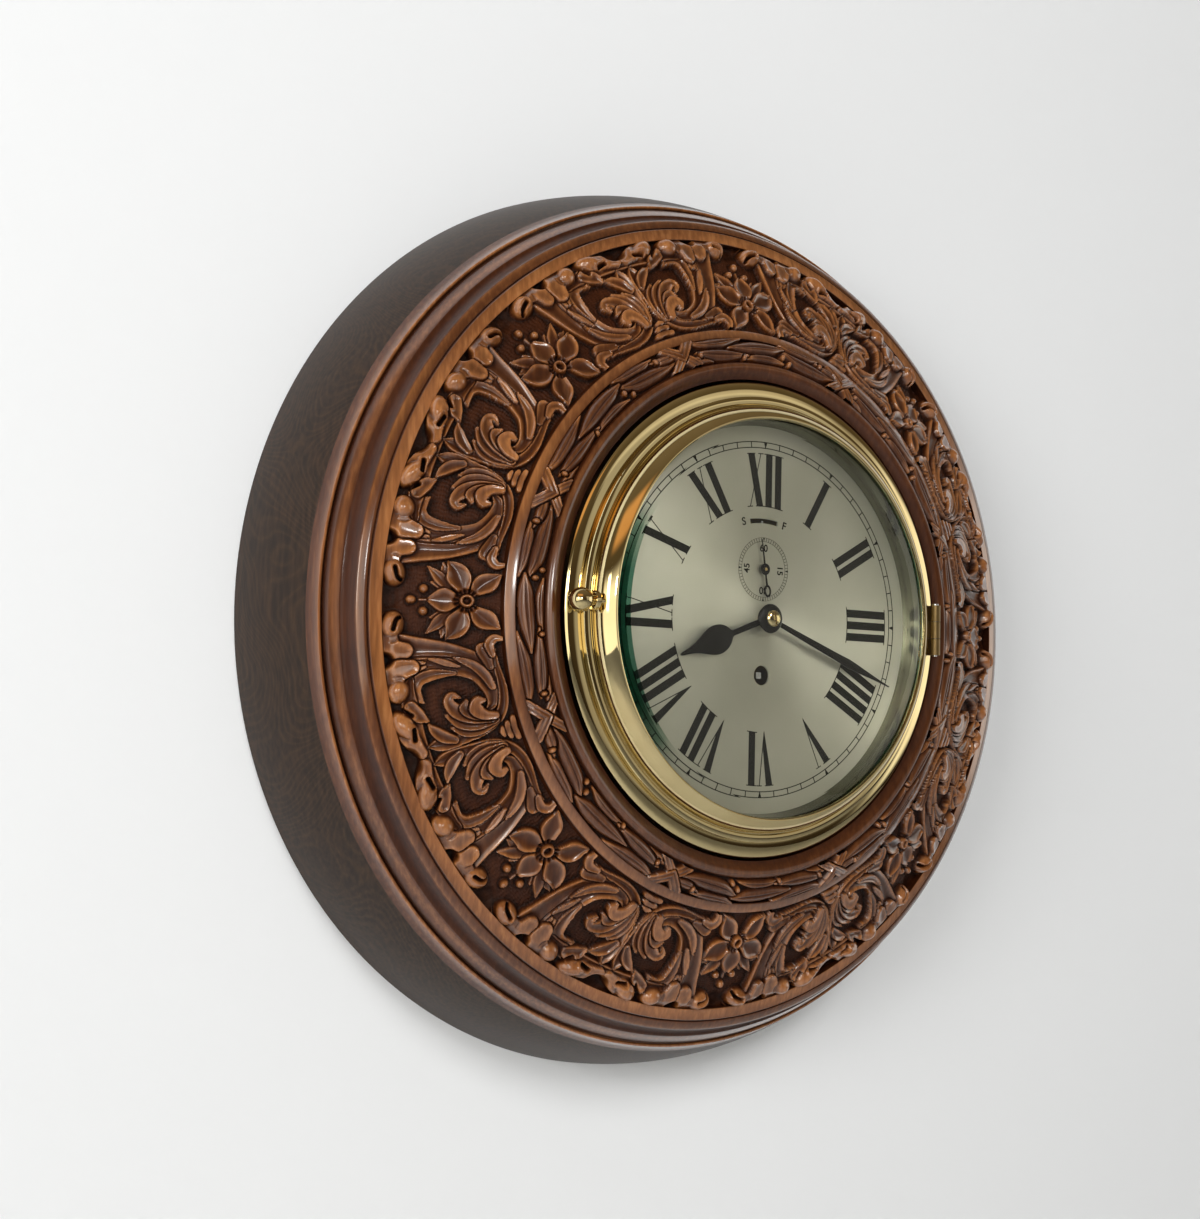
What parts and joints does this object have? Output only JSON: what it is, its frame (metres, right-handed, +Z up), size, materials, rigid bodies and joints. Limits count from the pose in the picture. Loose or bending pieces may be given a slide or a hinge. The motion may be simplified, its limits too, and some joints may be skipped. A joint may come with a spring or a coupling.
{
  "type": "railway station clock",
  "caption": "Round wall clock with a carved wooden surround, hinged brass bezel with bevelled glass, silvered dial and a sprung lever movement.",
  "frame": {"origin": "centre of the clock's back face, on the wall", "axes": "+Z up, +Y into the wall, the dial faces -Y and nine o'clock lies towards -X"},
  "size_m": [0.499, 0.13, 0.499],
  "materials": {
    "dark_wood": "satin, ebonised",
    "carved_wood": "waxed, carved",
    "board_wood": "plain",
    "polished_brass": "polished",
    "plain_brass": "satin",
    "silvered_brass": "silvered",
    "black_wax": "wax",
    "black_enamel": "blacked",
    "steel": "satin",
    "glass": "bevelled plate"
  },
  "bodies": {
    "case": {"case_drum": "dark_wood", "carved_surround": "carved_wood", "back_board": "board_wood", "hanger_plate": "plain_brass", "hanger_screws": "plain_brass", "board_screws": "plain_brass", "brass_bowl": "polished_brass", "bowl_screws": "plain_brass", "hinge_fixed_leaf": "polished_brass", "hinge_pin": "steel", "catch_spring": "plain_brass", "dial_plate": "silvered_brass", "dial_markings": "black_wax", "dial_screws": "steel", "dial_feet": "plain_brass", "front_plate": "plain_brass", "back_plate": "plain_brass", "plate_pillars": "plain_brass", "plate_screws": "steel", "platform_plate": "plain_brass", "platform_pillars": "plain_brass", "balance_cock": "plain_brass", "click_spring": "steel"},
    "door": {"bezel_ring": "polished_brass", "bevelled_glass": "glass", "glass_retaining_ring": "plain_brass", "reflector_ring": "silvered_brass", "hinge_moving_leaf": "polished_brass", "door_knob": "polished_brass", "knob_collar": "polished_brass"},
    "seconds": {"fourth_wheel": "plain_brass", "seconds_hand": "black_enamel"},
    "third": {"third_wheel": "plain_brass"},
    "centre": {"centre_arbor": "steel", "centre_wheel": "plain_brass", "cannon_pinion": "steel"},
    "minute": {"minute_hand": "black_enamel", "minute_boss": "black_enamel", "hand_screw": "polished_brass"},
    "minute_wheel": {"minute_wheel": "plain_brass"},
    "hour_wheel": {"hour_wheel": "plain_brass"},
    "hour": {"hour_hand": "black_enamel"},
    "barrel": {"great_wheel_barrel": "plain_brass", "barrel_cap": "plain_brass", "mainspring": "steel"},
    "winding": {"winding_arbor": "steel", "ratchet_wheel": "steel"},
    "click": {"click": "steel"},
    "escape": {"escape_wheel": "steel"},
    "lever": {"pallet_lever": "steel"},
    "balance": {"balance_wheel": "plain_brass", "hairspring": "steel"},
    "index": {"slow_fast_index": "steel"}
  },
  "joints": [
    {"name": "door_hinge", "type": "hinge", "parent": "case", "child": "door", "pos_m": [0.1215, -0.1196, 0], "axis": [0, 0, 1], "range_deg": [0, 120]},
    {"name": "seconds_turn", "type": "hinge", "parent": "case", "child": "seconds", "pos_m": [0, -0.11, 0.0263], "axis": [0, 1, 0], "continuous": true},
    {"name": "third_turn", "type": "hinge", "parent": "case", "child": "third", "pos_m": [0.016, -0.07, 0.01582], "axis": [0, 1, 0], "continuous": true},
    {"name": "centre_turn", "type": "hinge", "parent": "case", "child": "centre", "pos_m": [0, -0.07, 0], "axis": [0, 1, 0], "continuous": true},
    {"name": "hand_setting", "type": "hinge", "parent": "centre", "child": "minute", "pos_m": [0, -0.1, 0], "axis": [0, 1, 0], "continuous": true},
    {"name": "minute_wheel_turn", "type": "hinge", "parent": "case", "child": "minute_wheel", "pos_m": [0, -0.09, -0.012], "axis": [0, 1, 0], "continuous": true},
    {"name": "hour_wheel_turn", "type": "hinge", "parent": "case", "child": "hour_wheel", "pos_m": [0, -0.095, 0], "axis": [0, 1, 0], "continuous": true},
    {"name": "hour_setting", "type": "hinge", "parent": "hour_wheel", "child": "hour", "pos_m": [0, -0.115, 0], "axis": [0, 1, 0], "continuous": true},
    {"name": "barrel_turn", "type": "hinge", "parent": "case", "child": "barrel", "pos_m": [0, -0.06, -0.0298], "axis": [0, 1, 0], "continuous": true},
    {"name": "winding_turn", "type": "hinge", "parent": "case", "child": "winding", "pos_m": [0, -0.08, -0.0298], "axis": [0, 1, 0], "continuous": true},
    {"name": "click_lift", "type": "hinge", "parent": "case", "child": "click", "pos_m": [0.00662, -0.088, -0.0192], "axis": [0, 1, 0], "range_deg": [0, 12], "stiffness_Nm_per_rad": 0.0002, "springref_deg": -17.19},
    {"name": "escape_turn", "type": "hinge", "parent": "case", "child": "escape", "pos_m": [-0.0152, -0.09, 0.03518], "axis": [0, 1, 0], "continuous": true},
    {"name": "lever_rock", "type": "hinge", "parent": "case", "child": "lever", "pos_m": [-0.00805, -0.09, 0.03651], "axis": [0, 1, 0], "range_deg": [-5, 5]},
    {"name": "balance_swing", "type": "hinge", "parent": "case", "child": "balance", "pos_m": [0, -0.095, 0.038], "axis": [0, 1, 0], "range_deg": [-220, 220], "stiffness_Nm_per_rad": 0.00001, "deforming": ["hairspring"]},
    {"name": "index_shift", "type": "hinge", "parent": "case", "child": "index", "pos_m": [0, -0.1, 0.038], "axis": [0, 1, 0], "range_deg": [-20, 20]}
  ],
  "couplings": [
    {"joint": "centre_turn", "follows": "seconds_turn", "ratio": 0.016667},
    {"joint": "third_turn", "follows": "seconds_turn", "ratio": -0.13333},
    {"joint": "escape_turn", "follows": "seconds_turn", "ratio": -10},
    {"joint": "barrel_turn", "follows": "seconds_turn", "ratio": -0.0020833},
    {"joint": "minute_wheel_turn", "follows": "seconds_turn", "ratio": -0.0055556},
    {"joint": "hour_wheel_turn", "follows": "seconds_turn", "ratio": 0.0013889},
    {"joint": "hour_setting", "follows": "hand_setting", "ratio": 0.083333}
  ]
}
